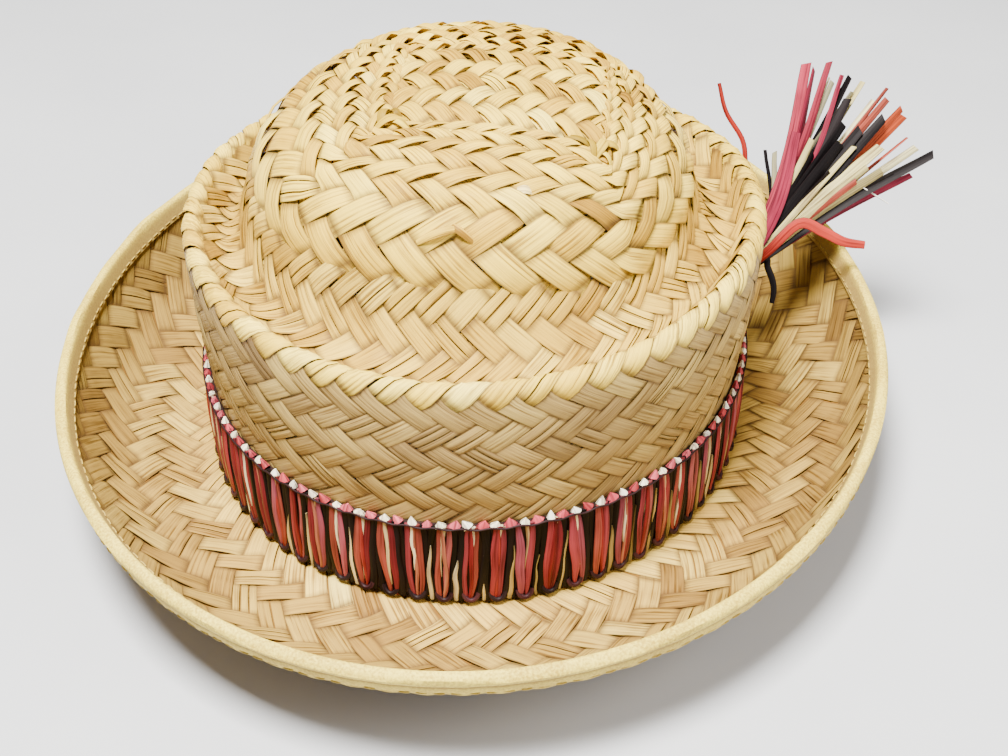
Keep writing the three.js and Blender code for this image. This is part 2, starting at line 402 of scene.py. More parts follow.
crown = crown_surface()
print("crown rows:", (len(crown.rings) - 1) // STEPS, "round the panel")

# %% [markdown]
# The brim is a shallow bowl that turns up all round. Its table goes from the head opening out to the rim,
# and gives the half width, half length and height of each ring. The rim stands a little higher at the
# back than at the front.

# %% Brim surface
BRIM_SECTIONS = [
    (84.0, 99.0, 2.0), (91.0, 105.6, 2.0), (97.0, 111.6, 2.0), (103.4, 119.6, 4.2), (111.0, 130.6, 8.0),
    (118.0, 140.6, 13.2), (123.2, 148.4, 20.0), (127.7, 155.6, 29.0), (128.9, 157.6, 31.6),
    (130.2, 159.6, 35.4),
]
BRIM_FLAT = 2.0
BRIM_TILT = 0.075
BRIM_ROWS = 6


def brim_ring(half_width, half_length, height):
    ring = oval(half_width, half_length, height, height)
    lean = BRIM_TILT * ring[:, 1] / half_length
    ring[:, 2] = BRIM_FLAT + (height - BRIM_FLAT) * (1 + lean)
    return ring


def brim_surface():
    rings = np.stack([brim_ring(*section) for section in BRIM_SECTIONS])
    return Surface(respaced(rings, [1] * BRIM_ROWS), 0)


brim = brim_surface()
rim_heights = brim.rings[-1][:, 2]
print("rim height, front to back:", rim_heights.min().round(1), rim_heights.max().round(1))

# %% [markdown]
# Thousands of small ribbons are too many to model one by one, so they are skinned from arrays. A ribbon
# is a row of closed loops of points: neighbouring loops are joined by quads and the two ends are capped.
# All ribbons of a piece are written at once into one mesh, with their UV map and their dye, tuck and side
# attributes.

# %% Skin ribbons from loops


def skin(name, loops, runs, dyes, tucks=0.0, sides=0.0, closed=False):
    """loops: ribbon, station, point, xyz in mm. runs: the UV of each point. dyes: a colour a ribbon."""
    ribbons, stations, around = loops.shape[:3]
    start = np.arange(ribbons * stations).reshape(ribbons, stations) * around
    near = np.arange(around)
    far = np.roll(near, -1)
    here = (start if closed else start[:, :-1])[..., None]
    there = (np.roll(start, -1, axis=1) if closed else start[:, 1:])[..., None]
    quads = [here + near, here + far, there + far, there + near]
    faces = np.stack(quads, axis=-1).reshape(-1, 4).tolist()
    if not closed:
        faces += (start[:, :1] + near[::-1]).tolist()
        faces += (start[:, -1:] + near).tolist()
    mesh = bpy.data.meshes.new(name)
    mesh.from_pydata((loops.reshape(-1, 3) * MM).tolist(), [], faces)
    corners = np.empty(len(mesh.loops), dtype=int)
    mesh.loops.foreach_get("vertex_index", corners)
    mesh.uv_layers.new(name="strip").data.foreach_set("uv", runs.reshape(-1, 2)[corners].ravel())
    colours = np.ones((ribbons, stations, around, 4))
    colours[..., :3] = np.asarray(dyes)[:, None, None, :]
    mesh.color_attributes.new("dye", "FLOAT_COLOR", "POINT").data.foreach_set("color", colours.ravel())
    for key, values in (("tuck", tucks), ("side", sides)):
        spread = np.broadcast_to(values, (ribbons, stations, around)).astype(float)
        mesh.attributes.new(key, "FLOAT", "POINT").data.foreach_set("value", spread.ravel())
    piece = bpy.data.objects.new(name, mesh)
    bpy.context.collection.objects.link(piece)
    return piece


def ring_sheet(name, surface, section, dye):
    """A closed sheet round the hat. section: the row and the lift of each of its points."""
    loop = []
    for row, lift in section:
        points, normals = surface.read(np.full(ROUND, row), ALL_ROUND)
        loop.append(points + normals * lift)
    loops = np.stack(loop, axis=1)[None]
    return skin(name, loops, np.zeros((*loops.shape[:3], 2)), [linear(dye)], closed=True)


def smooth(piece, degrees=40):
    bpy.ops.object.select_all(action="DESELECT")
    bpy.context.view_layer.objects.active = piece
    piece.select_set(True)
    bpy.ops.object.mode_set(mode="EDIT")
    bpy.ops.mesh.select_all(action="SELECT")
    bpy.ops.mesh.normals_make_consistent(inside=False)
    bpy.ops.object.mode_set(mode="OBJECT")
    bpy.ops.object.shade_smooth_by_angle(angle=math.radians(degrees))


def settle(piece, material, node):
    """The piece's finish, its place in the frame and the solid that it stands for."""
    piece.data.materials.append(material)
    smooth(piece)
    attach(piece, "root")
    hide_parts(node)
    piece.data.calc_loop_triangles()
    print(piece.name, len(piece.data.loop_triangles), "triangles")


print("ribbons are skinned with quads")

# %% [markdown]
# In this weave each strip passes over two others and then under two, and the rows lean to the left and to
# the right in turn, which is a herringbone. One strip period is one ribbon here: it shows on the outside
# in its own row, dives at both ends and shows on the inside in the next rows, so the hat is woven on both
# faces. Row and spot are counted in strip widths, and only the last step turns them into points on the
# surface. Chance comes first: where each strip lies, which strips are torn lengthwise, and what colour
# each one has.

# %% Places, tears and tones of the strips
PHASE = 0.25
TORN_SHARES = np.array([0.7, 0.3])
TEAR_STRAY = 0.22
TEAR_GAP = 0.05
FADES = (0.92, 1.05)


def row_floats(row, per_side, slant):
    """The strips that show in one row: the quarter of the ring that they are in, and their spot in it."""
    half = per_side / 2
    spots = np.arange(math.ceil(-half - PHASE * slant), math.ceil(half - PHASE * slant)) + PHASE * slant
    quarters = np.repeat(np.arange(4) / 4, len(spots))
    return [(quarter, spot, row + 0.5, slant) for quarter, spot in zip(quarters, np.tile(spots, 4))]


def splints(count, torn):
    """Some strips are torn into two or three. Gives each splint's strip and its two edges across it."""
    made = []
    for strip in range(count):
        pieces = 1 + dice.choice(3, p=[1 - torn, *(torn * TORN_SHARES)])
        cuts = np.linspace(-1, 1, pieces + 1)
        cuts[1:-1] += dice.uniform(-TEAR_STRAY, TEAR_STRAY, pieces - 1)
        for left, right in zip(cuts[:-1], cuts[1:]):
            made.append((strip, left + TEAR_GAP * (left > -1), right - TEAR_GAP * (right < 1)))
    return np.array(made)


def straw_dyes(count, tones, spread):
    """A colour for each strip, somewhere between two neighbouring tones."""
    ramp = np.array([linear(code) for code in tones])
    place = np.clip(dice.normal(0.5, spread, count), 0, 0.999) * (len(ramp) - 1)
    low = place.astype(int)
    share = (place - low)[:, None]
    return (ramp[low] * (1 - share) + ramp[low + 1] * share) * dice.uniform(*FADES, (count, 1))


def slant_of(row):
    """Rows lean to one side and to the other in turn."""
    return 1 if row % 2 == 0 else -1


print("a torn strip comes apart in two in", TORN_SHARES[0], "of the cases")

# %% [markdown]
# Then the strips are bent. A strip's section has a crowned top and a flat underside. Each zone of the hat
# has its own look: the level that the weave lies at over the surface, how far a strip swings over and
# under (wave), how flat its top is, how far it puffs up between its crossings and more so at the back,
# its bow across, its twist, thickness and width. A look also says what share of the strips is torn, how
# far their tones spread, how long the painted shade at a tuck is, how much darker the strips get toward
# the last row as painted shade, and a strip's length and width in millimetres for its fibres.

# %% Woven strips
HALF_PERIOD = [0, 0.2, 0.35, 0.44, 0.5, 0.56, 0.65, 0.8, 1]
STATIONS = np.array([-station for station in HALF_PERIOD[:0:-1]] + HALF_PERIOD)
ACROSS = np.array([-1, -0.5, 0, 0.5, 1, 0.9, -0.9])
SKIN = np.array([0.05, 0.42, 0.5, 0.42, 0.05, -0.5, -0.5])
HALF_STRIP = 0.25
STRAY = {"spot": 0.025, "row": 0.02, "width": 0.03, "lift": 0.04}
WIDTH_LIMITS = (0.85, 1.03)
PUFFS = (0.5, 1.5)
LOOSE_BACK = {"from": -10, "deep": 70}
ANYWHERE = (0, 900)


def weave(name, surface, floats, strips_round, look):
    quarter, spot, row, slant = np.array(floats).T
    count = len(floats)
    spot = spot + dice.normal(0, STRAY["spot"], count)
    row = row + dice.normal(0, STRAY["row"], count)
    width = np.clip(dice.normal(look["width"], STRAY["width"], count), *WIDTH_LIMITS)
    twist = dice.normal(0, look["twist"], count)
    middles, _ = surface.read(row, quarter + spot / strips_round)
    back = np.clip((middles[:, 1] - LOOSE_BACK["from"]) / LOOSE_BACK["deep"], 0, 1)
    puff = (look["puff"] + look["back_puff"] * back) * dice.uniform(*PUFFS, count)
    # Painted shade: strips get darker toward the last row, which on the brim is the rim.
    worn = 1 - look["worn"] * (row - row.min()) / (row.max() - row.min())
    dyes = straw_dyes(count, look["tones"], look["spread"]) * worn[:, None]
    strip, left, right = splints(count, look["torn"]).T
    strip = strip.astype(int)
    lift = dice.normal(0, STRAY["lift"], len(strip)).reshape(-1, 1, 1)

    def column(values):
        return values[strip].reshape(-1, 1, 1)

    along = STATIONS.reshape(1, -1, 1)
    edge = ((left + right) / 2).reshape(-1, 1, 1) + ((right - left) / 2).reshape(-1, 1, 1) * ACROSS
    sideways = HALF_STRIP * column(width) * edge
    rows = column(row) + along + sideways
    spots = column(spot) + column(slant) * (along - sideways)
    over = np.cos(math.pi * along)
    wave = np.sign(over) * np.abs(over) ** look["flat"]
    height = look["level"] + look["wave"] * wave + lift
    height = height + look["bow"] * (1 - edge**2) * over + column(twist) * edge * np.abs(over)
    height = height + column(puff) * np.maximum(over, 0) ** 2 + SKIN * look["thick"]
    points, normals = surface.read(rows, column(quarter) + spots / strips_round)
    loops = points + normals * height[..., None]
    length, breadth = look["strip"]
    run_along = along * length + column(dice.uniform(*ANYWHERE, count))
    run_across = edge * breadth / 2 + column(dice.uniform(*ANYWHERE, count))
    runs = np.stack(np.broadcast_arrays(run_along, run_across), axis=-1)
    # Painted shade where each strip dives under its neighbour.
    tucks = np.exp(-(((np.abs(along) - 0.5) / look["tuck"]) ** 2))
    return skin(name, loops, runs, dyes[strip], tucks, np.abs(ACROSS))


def make_zone(name, surface, first_row, end_row, strips, look):
    floats = []
    for row in range(first_row, end_row):
        floats += row_floats(row, strips / 4, slant_of(row))
    return weave(name, surface, floats, strips, look)


print("a strip period has", len(STATIONS), "stations")

# %% [markdown]
# The dome is woven from the panel outwards with thirty-two wide strips. They are loosest at its back,
# where they puff up between their crossings. Low on the dome they are torn into narrower strips,
# fifty-two in a row, which go on to the foot. The ridge is a row of bright strips that roll over the
# crest like a rope, and the wall is flat and tight.

# %% Dome and wall weave
DOME_STRIPS = 32
LOWER_STRIPS = 52
WALL_STRIPS = 60
TORN_ROW = PANEL_EDGE + 8
DOME_LOOK = {
    "level": -1.0, "wave": 0.68, "flat": 0.75, "puff": 0.42, "back_puff": 1.1, "bow": 0.34, "twist": 0.16,
    "thick": 0.4, "width": 0.99, "torn": 0.16, "spread": 0.17, "tuck": 0.09, "worn": 0, "strip": (14, 8),
    "tones": ["9a7626", "c6a138", "debd45", "ebcf5a", "f4df76"],
}
LOWER_LOOK = DOME_LOOK | {
    "wave": 0.5, "puff": 0.12, "back_puff": 0.4, "bow": 0.18, "torn": 0.55, "strip": (13, 6.5),
    "tones": ["7c5e24", "ac8934", "c9a846", "dcbf5a", "ead274"],
}
RIDGE_LOOK = LOWER_LOOK | {
    "wave": 0.34, "bow": 0.2, "torn": 0.12, "strip": (16, 8),
    "tones": ["be9a34", "d7b541", "e8cb52", "f3db6a", "f9e784"],
}
WALL_LOOK = LOWER_LOOK | {
    "wave": 0.3, "flat": 0.5, "puff": 0.04, "back_puff": 0, "bow": 0.12, "twist": 0.08, "thick": 0.36,
    "width": 1.0, "torn": 0.18, "spread": 0.14, "tuck": 0.045, "strip": (12, 6.2),
    "tones": ["78634a", "947d55", "aa9260", "bda66b", "cfb97c"],
}
ZONES = [
    ("dome_weave", crown, PANEL_EDGE, TORN_ROW, DOME_STRIPS, DOME_LOOK),
    ("lower_dome_weave", crown, TORN_ROW, RIDGE_ROW, LOWER_STRIPS, LOWER_LOOK),
    ("ridge_weave", crown, RIDGE_ROW, RIDGE_ROW + 1, WALL_STRIPS, RIDGE_LOOK),
    ("wall_weave", crown, RIDGE_ROW + 1, LAST_ROW, WALL_STRIPS, WALL_LOOK),
]
for zone in ZONES:
    settle(make_zone(*zone), straw, "crown")

# %% [markdown]
# The panel in the middle of the dome is a flat patch of the same herringbone with straight rows. A second
# small surface carries it: its rows run from the back to the front of the panel, and its spots from left
# to right. A wider patch lies just under it: the ends of the same strips, which go on under the first
# rows round it.

# %% Panel weave
PANEL_ROWS = 5
PANEL_STRIPS = 8
GROUND_LEVEL = -2.0


class PanelSurface:
    """The top of the dome, read by the panel's straight rows in place of rings."""

    def read(self, row, share):
        across = share * 2 * PANEL["half_width"]
        along = (row / PANEL_ROWS * 2 - 1) * -PANEL["half_length"]
        x, y = turned_panel(across, along)
        return np.stack([x, y, dome_height(x, y)], axis=-1), dome_normals(x, y)


def make_panel(name, margin, look):
    """margin: how many rows and strips the patch goes on past the panel's edge."""
    half = PANEL_STRIPS // 2 + margin
    floats = []
    for row in range(-margin, PANEL_ROWS + margin):
        spots = np.arange(-half, half) + 0.5 + PHASE * slant_of(row)
        floats += [(0.0, spot, row + 0.5, slant_of(row)) for spot in spots]
    return weave(name, PanelSurface(), floats, PANEL_STRIPS, look)


settle(make_panel("panel_weave", 0, DOME_LOOK), straw, "crown")
settle(make_panel("panel_ground", 1, DOME_LOOK | {"level": GROUND_LEVEL}), straw, "crown")

# %% [markdown]
# The brim's strips are browner than the crown's, and darker toward the rim, which is painted shade. Six
# rows run round it. A thin sheet between the two faces of the weave closes the pinholes, which real strips
# close by swelling.

# %% Brim weave
BRIM_STRIPS = 72
BRIM_LOOK = {
    "level": -0.85, "wave": 0.46, "flat": 0.65, "puff": 0.08, "back_puff": 0, "bow": 0.16, "twist": 0.14,
    "thick": 0.36, "width": 0.99, "torn": 0.25, "spread": 0.13, "tuck": 0.07, "worn": 0.5, "strip": (14, 7),
    "tones": ["7a5b34", "a28045", "c1a055", "d6b865", "e8d07c"],
}
SHEET = {"rows": np.linspace(0.1, BRIM_ROWS - 0.1, 25), "top": -0.95, "under": -1.05, "dye": "8a6532"}
SHEET_SECTION = [(row, SHEET["top"]) for row in SHEET["rows"]]
SHEET_SECTION += [(row, SHEET["under"]) for row in SHEET["rows"][::-1]]
brim_weave = make_zone("brim_weave", brim, 0, BRIM_ROWS, BRIM_STRIPS, BRIM_LOOK)
settle(brim_weave, straw, "brim")
settle(ring_sheet("brim_ground", brim, SHEET_SECTION, SHEET["dye"]), straw, "brim")

# %% [markdown]
# Threads, raffia strands and loose strips are all one thing: a flat lens of a section that follows a
# path. The path and the way that the flat side faces give the section's two directions at every station.
# A bevelled curve could do this for one strand, but it can't widen, twist and take a slanted tip for
# hundreds at once.

# %% Ribbons along paths
LENS = 2 * math.pi * np.arange(8) / 8
DYE_FADES = (0.8, 1.15)


def ribbons(name, paths, facing, widths, thick, dyes, closed=False, cut=None, tucks=0.0):
    """paths, facing: ribbon, station, xyz. widths: ribbon, station. cut: the slant of each ribbon's tip."""
    step = np.gradient(paths, axis=1)
    if closed:
        step = (np.roll(paths, -1, axis=1) - np.roll(paths, 1, axis=1)) / 2
    across = unit(np.cross(step, facing))
    face = unit(np.cross(across, step))
    half_width = (widths / 2)[..., None] * np.cos(LENS)
    half_thick = np.broadcast_to(thick, widths.shape)[..., None] / 2 * np.sin(LENS)
    loops = paths[:, :, None, :] + half_width[..., None] * across[:, :, None]
    loops = loops + half_thick[..., None] * face[:, :, None]
    if cut is not None:
        loops[:, -1] += (cut[:, None] * half_width[:, -1])[..., None] * unit(step[:, -1])[:, None]
    length = np.cumsum(np.linalg.norm(step, axis=2), axis=1)[..., None]
    run_along = length + dice.uniform(*ANYWHERE, (len(paths), 1, 1))
    run_across = half_width + dice.uniform(*ANYWHERE, (len(paths), 1, 1))
    runs = np.stack(np.broadcast_arrays(run_along, run_across), axis=-1)
    return skin(name, loops, runs, dyes, tucks, np.abs(np.cos(LENS)), closed)


def bow(first, middle, last, share):
    """A number that swings from first to last and passes middle halfway."""
    control = 2 * middle - (first + last) / 2
    return (1 - share) ** 2 * first + 2 * share * (1 - share) * control + share**2 * last


def hump(share):
    """0 at both ends and 1 halfway."""
    return np.sin(math.pi * share)


def picked(codes, count):
    """Colours picked by chance from a list of paint codes, each a little lighter or darker."""
    ramp = np.array([linear(code) for code in codes])
    return ramp[dice.integers(0, len(ramp), count)] * dice.uniform(*DYE_FADES, (count, 1))


print("a ribbon's section has", len(LENS), "points")

# %% [markdown]
# A handmade dome is never quite tidy. Strips are knotted where the panel's two front corners were
# started, one frayed end stands up on the front and a pale chip sticks out between two strips. Each bit
# is a short ribbon that arches over its place on the dome, with both its ends sunk in the weave. Its line
# in the table gives that place, the way it points, its length, width and arch, and its dye.

# %% Knots and frayed ends
BITS = [
    ((-21.4, -28.6), 20, 9, 3.4, 2.2, "bc9e2e"), ((-23.5, -26.0), 80, 8, 2.6, 2.6, "947a1e"),
    ((-18.5, -30.0), -35, 7, 2.4, 1.8, "d0b63c"), ((-20.0, -25.5), 130, 6, 1.8, 2.4, "7a6218"),
    ((38.5, -28.0), 70, 9, 3.2, 2.8, "caae36"), ((36.0, -29.5), 110, 7, 2.4, 2.2, "9a801e"),
    ((41.0, -26.0), 20, 7, 2.6, 2.0, "b49828"), ((33.0, -28.5), -10, 8, 2.2, 1.4, "866e1a"),
    ((40.0, -30.5), 150, 5, 1.8, 1.8, "d6be48"), ((-3.5, -62.5), 12, 13, 2.4, 2.4, "dab844"),
    ((2.0, -62.0), -22, 9, 2.2, 1.6, "c29c36"), ((18.6, -49.7), 10, 4, 2.8, 0.9, "ecd898"),
]
BIT_SUNK = 0.6
BIT_THICK = 0.5


def make_bits():
    places, aims, lengths, wide, arches, codes = zip(*BITS)
    share = np.linspace(0, 1, 9)
    aim = np.radians(aims)[:, None]
    reach = np.array(lengths)[:, None] * (share - 0.5)
    x, y = np.array(places).T[..., None] + reach * np.stack([np.cos(aim), np.sin(aim)])
    arch = np.array(arches)[:, None] * hump(share) - BIT_SUNK
    normals = dome_normals(x, y)
    paths = np.stack([x, y, dome_height(x, y)], axis=-1) + normals * arch[..., None]
    widths = np.array(wide)[:, None] * (0.7 + 0.3 * hump(share))
    return ribbons("dome_bits", paths, normals, widths, BIT_THICK, [linear(code) for code in codes])


settle(make_bits(), straw, "crown")

# %% [markdown]
# The rim is bound with a pale cotton tape that is folded over it and sewn down. Its section goes up the
# inside flange, over the fold, down the outside flange with its one crease, and back along the hidden
# faces. Each point has its rows below the rim, its millimetres beyond it, its lift off the straw and its
# share of tan, which is painted shade: most on the inside flange and in the crease. The section is swept
# round the rim. The outside edge puckers between the stitches and the fold wavers, so the sweep moves
# these points a little at every place.

# %% Rim tape
TAPE_DEEP = 0.56
TAPE_SECTION = [
    (TAPE_DEEP, 0, 0.9, 0.8), (0.42, 0, 1.05, 0.8), (0.18, 0, 1.05, 0.75), (0.06, 0, 1.05, 0.4),
    (0, 0.1, 1.05, 0.1), (0, 0.75, 0.75, 0), (0, 1.15, 0.1, 0), (0, 1.2, -0.9, 0), (0, 0.95, -1.8, 0),
    (0, 0.2, -2.55, 0.1), (0.1, 0, -2.65, 0.35), (0.18, 0, -2.3, 1), (0.23, 0, -2.75, 0.4),
    (0.42, 0, -3.1, 0.3), (TAPE_DEEP, 0, -3.4, 0.45), (TAPE_DEEP, 0, -2.7, 0.6), (0.3, 0, -2.2, 0.5),
    (0, 0.3, -2.2, 0.5), (0, 0.3, 0.3, 0.5), (0.3, 0, 0.3, 0.5), (TAPE_DEEP, 0, 0.4, 0.8),
]
# The first two colours are the cotton's own mottle; tan is the tape's painted shade, on the inside flange
# and in the crease.
TAPE_TONES = {"worn": "b6962f", "clean": "eed454", "tan": "8a6c36", "dye": "e9dfb4"}
FUZZ = {"fine": 1400.0, "broad": 60.0, "fine_share": 0.7, "bump": 0.5, "deep": 0.3, "roughness": 0.75}
PUCKER = {"waves": 84, "drift": 2, "drift_waves": 7, "depth": 0.2, "inside": 0.15}
WAVER = [(0.3, 13, 1), (0.2, 29, 0)]
OUTSIDE_LIFT = -2.5
FOLD_FROM = 0.5


def tape_material():
    material, shader, wire = new_material("cotton_tape")
    place = wire.node("ShaderNodeTexCoord", {}, {}, out=3)
    fine, broad = place.noise(FUZZ["fine"], 3.0), place.noise(FUZZ["broad"])
    fuzz = fine * FUZZ["fine_share"] + broad * (1 - FUZZ["fine_share"])
    stops = [(0.35, paint(TAPE_TONES["worn"])), (0.62, paint(TAPE_TONES["clean"]))]
    painted_shade_share = wire.node("ShaderNodeAttribute", {"attribute_name": "tuck"}, {}, out=2)
    tone = wire.node("ShaderNodeValToRGB", {"stops": stops}, {0: fuzz})
    # Painted shade: the tape turns tan on the inside flange and in the crease of the outside flange.
    tone = tone.mix(paint(TAPE_TONES["tan"]), painted_shade_share)
    relief = {"Strength": FUZZ["bump"], "Distance": FUZZ["deep"] * MM, "Height": fuzz}
    bump = wire.node("ShaderNodeBump", {}, relief)
    material.node_tree.links.new(tone.socket, shader.inputs["Base Color"])
    material.node_tree.links.new(bump.socket, shader.inputs["Normal"])
    shader.inputs["Roughness"].default_value = FUZZ["roughness"]
    return material


def ripple(waves, start=0):
    return np.sin(2 * math.pi * waves * ALL_ROUND + start)


def rim_loops():
    edge, _ = brim.read(np.full(ROUND, BRIM_ROWS), ALL_ROUND)
    inner, _ = brim.read(np.full(ROUND, BRIM_ROWS - 0.1), ALL_ROUND)
    rimward = unit(edge - inner)
    pucker = ripple(PUCKER["waves"], PUCKER["drift"] * ripple(PUCKER["drift_waves"]))
    waver = sum(depth * ripple(waves, start) for depth, waves, start in WAVER)
    loops = []
    for below, beyond, lift, _ in TAPE_SECTION:
        points, normals = brim.read(np.full(ROUND, BRIM_ROWS - below), ALL_ROUND)
        loose = below / TAPE_DEEP * PUCKER["depth"]
        if lift < OUTSIDE_LIFT:
            height = lift - loose * (1 + pucker)
        else:
            height = lift + PUCKER["inside"] * loose * pucker
        fold = beyond + (beyond > FOLD_FROM) * waver
        loops.append(points + rimward * fold[:, None] + normals * height[:, None])
    return np.stack(loops, axis=1)[None]


cotton = tape_material()
tape_loops = rim_loops()
tape_runs = np.zeros((*tape_loops.shape[:3], 2))
# Each section point's share of tan, the tape's painted shade.
tape_painted_shade = np.array(TAPE_SECTION)[:, 3]
tape = skin("tape_fold", tape_loops, tape_runs, [linear(TAPE_TONES["dye"])], tape_painted_shade, closed=True)
settle(tape, cotton, "brim_binding")

# %% [markdown]
# Two lines of short stitches hold the tape, one on each face of the brim. A painted line would vanish
# from the side, so each stitch is a short ribbon that lies on the flange and arches a little in its
# middle.

# %% Stitches
STITCHES = 210
STITCH = {
    "below": 0.46, "stray": 0.012, "share": 0.62, "arch": 0.12, "width": 0.45, "thick": 0.4, "tan": 0.6,
    "tones": ["efe7c4", "e2d7a8"],
}
STITCH_LIFTS = {"inside_stitches": 1.12, "outside_stitches": -3.4}


def make_stitches(name, lift):
    start = np.arange(STITCHES)[:, None] / STITCHES
    along = np.linspace(0, 1, 6)
    shares = start + STITCH["share"] / STITCHES * along
    rows = BRIM_ROWS - STITCH["below"] + dice.normal(0, STITCH["stray"], (STITCHES, 1)) + 0 * shares
    points, normals = brim.read(rows, shares)
    heights = lift + math.copysign(STITCH["arch"], lift) * hump(along)
    paths = points + normals * heights[:, None]
    widths = np.full(shares.shape, STITCH["width"])
    dyes = picked(STITCH["tones"], STITCHES)
    return ribbons(name, paths, normals, widths, STITCH["thick"], dyes, tucks=STITCH["tan"])


for name, lift in STITCH_LIFTS.items():
    settle(make_stitches(name, lift), cotton, "brim_binding")

# %% [markdown]
# The band is raffia, pinched into seventy-seven groups round the crown's foot. Each group has two coral
# strands with a red and a pale one between them, and two black strands with an olive sliver between
# those. A strand bellies out between its two ties. Its line in the table gives its tones, where it lies
# at the top, the belly and the foot, how wide it is there, how far it stands out, from which row to which
# it goes, and its odds of being there at all. Chance then bends, widens and shortens every strand, as
# fingers do.

# %% Band strands
GROUPS = 77
BAND_TOP = oval(87.3, 102.3, 31.6, 31.6)
BAND_FOOT = oval(86.3, 101.3, 3.2, 3.2)
band = Surface(respaced(np.stack([BAND_TOP, BAND_FOOT]), [1]), 0)
BAND_LENGTH = np.linalg.norm(np.diff(BAND_FOOT, axis=0, append=BAND_FOOT[:1]), axis=1).sum()
CORALS = ["8c3036", "8e3640", "944656", "904239", "72212b", "984d4d"]
REDS = ["7c2024", "94302c", "b87056"]
BLACKS = ["0c0a0c", "110d11", "09080a", "171115"]
PALES = ["e2d2a0", "ecdfb8", "cfae78", "d9c48c"]
OLIVES = ["c9b67e", "b39c5e", "ddcf9c", "8f7c48"]
STRANDS = [
    (CORALS, (-1.2, -1.45, -0.75), (1.6, 2.5, 1.2), 1.5, (0, 1), 1),
    (CORALS, (1.2, 1.45, 0.75), (1.5, 2.4, 1.2), 1.4, (0, 1), 1),
    (REDS, (-0.6, 0.3, 0.4), (0.9, 1.3, 0.9), 1.5, (0, 1), 0.7),
    (PALES, (0.2, 0.1, 0.0), (1.5, 1.2, 0.2), 1.35, (0, 0.75), 0.75),
    (BLACKS, (2.9, 3.0, 2.5), (2.4, 1.7, 2.2), 0.95, (0, 1), 1),
    (BLACKS, (4.85, 4.7, 5.2), (2.4, 1.7, 2.2), 0.95, (0, 1), 1),
    (OLIVES, (3.9, 3.9, 3.9), (0.3, 1.5, 1.4), 1.15, (0.3, 1), 0.6),
]
STRAND = {
    "thick": 1.05, "least": 0.15, "top": 0.55, "foot": 0.6, "shade": 0.6,
    "wobble": 0.38, "foot_wobble": 0.6, "ripple": 0.22,
}
CHANCE = {"start": (0.4, 1.6), "end": (0.75, 1.2), "size": (0.7, 1.3), "turns": (0.8, 1.8)}
GROUP_LEAN = dice.normal(0, 0.8, (GROUPS, 1))


def group_shares(offsets):
    """Shares of the way round for places given in millimetres from the middle of each group."""
    return np.arange(GROUPS)[:, None] / GROUPS + offsets / BAND_LENGTH


def make_strands(number, tones, at, wide, stand, span, odds):
    share = np.linspace(0, 1, 10)
    start = span[0] * dice.uniform(*CHANCE["start"], (GROUPS, 1))
    end = span[1]
    if end < 1:
        end = np.minimum(1, end * dice.uniform(*CHANCE["end"], (GROUPS, 1)))
    rows = start + (end - start) * share
    wobble = dice.normal(0, STRAND["wobble"], (3, GROUPS, 1))
    size = dice.uniform(*CHANCE["size"], (3, GROUPS, 1))
    foot = at[2] + STRAND["foot_wobble"] * wobble[2]
    offsets = bow(at[0] + wobble[0], at[1] + wobble[1], foot, share) + GROUP_LEAN * (0.5 - rows)
    turns = share * dice.uniform(*CHANCE["turns"], (GROUPS, 1)) + size[0]
    offsets = offsets + STRAND["ripple"] * np.sin(2 * math.pi * turns)
    widths = bow(wide[0] * size[0], wide[1] * size[1], wide[2] * size[2], share)
    widths = np.maximum(widths, STRAND["least"])
    heights = bow(STRAND["top"] * stand, stand * size[1], STRAND["foot"] * stand, rows)
    points, normals = band.read(rows, group_shares(offsets))
    paths = points + normals * heights[..., None]
    kept = dice.random(GROUPS) < odds
    dyes = picked(tones, GROUPS)
    shade = STRAND["shade"] * np.abs(2 * share - 1).reshape(1, -1, 1) ** 4
    name = f"strands_{number}"
    return ribbons(name, paths[kept], normals[kept], widths[kept], STRAND["thick"], dyes[kept], tucks=shade)


for number, strand in enumerate(STRANDS):
    settle(make_strands(number, *strand), raffia, "hat_band")

# %% [markdown]
# A dark ground strip closes the band behind the strands. Over it run a thread under the picots and, at
# the foot, a black thread that loops below every coral group. The picots are folded tips: white ones over
# the coral groups and pink ones over the black groups. Each is a thick ribbon that narrows to a point.

# %% Band ground, threads and picots
GROUND_SECTION = [(0.02, -1.3), (0.02, 0.5), (0.97, 0.5), (0.97, -0.9)]
GROUND_DYE = "2a1c19"
LOOP = {
    "half_wide": 2.1, "stray": 0.12, "row": 0.9, "drop": 0.085, "drop_stray": 0.008, "lift": 0.7,
    "width": 1.5, "thick": 1.3, "tones": ["2b1719", "1f1415", "381d20"],
}
TOP_THREAD = {"row": 0.012, "wave": 0.01, "lift": 1.5, "thick": 0.55, "dye": "2a1a1c"}
PICOTS = [
    {"name": "white_picots", "tones": ["f8f0d2", "f2e6c0"], "at": -0.5, "wide": 3.4, "tall": 2.0},
    {"name": "pink_picots", "tones": ["b8444c", "c4565e", "a83c40"], "at": 3.4, "wide": 4.1, "tall": 2.1},
]
PICOT = {
    "lean": 0.9, "stray": 0.25, "lift": 0.3, "sunk": 0.4, "thick": 2.4, "tip_thick": 0.6, "tip_wide": 0.1,
    "heights": (0.8, 1.15), "widths": (0.75, 1.15),
}


def make_loops():
    swing = np.linspace(0, math.pi, 11)
    offsets = -LOOP["half_wide"] * np.cos(swing) + dice.normal(0, LOOP["stray"], (GROUPS, 1))
    rows = LOOP["row"] + LOOP["drop"] * np.sin(swing) + dice.normal(0, LOOP["drop_stray"], (GROUPS, 1))
    points, normals = band.read(rows, group_shares(offsets))
    paths = points + normals * (LOOP["lift"] + np.sin(swing))[:, None]
    widths = np.full(offsets.shape, LOOP["width"])
    return ribbons("foot_loops", paths, normals, widths, LOOP["thick"], picked(LOOP["tones"], GROUPS))


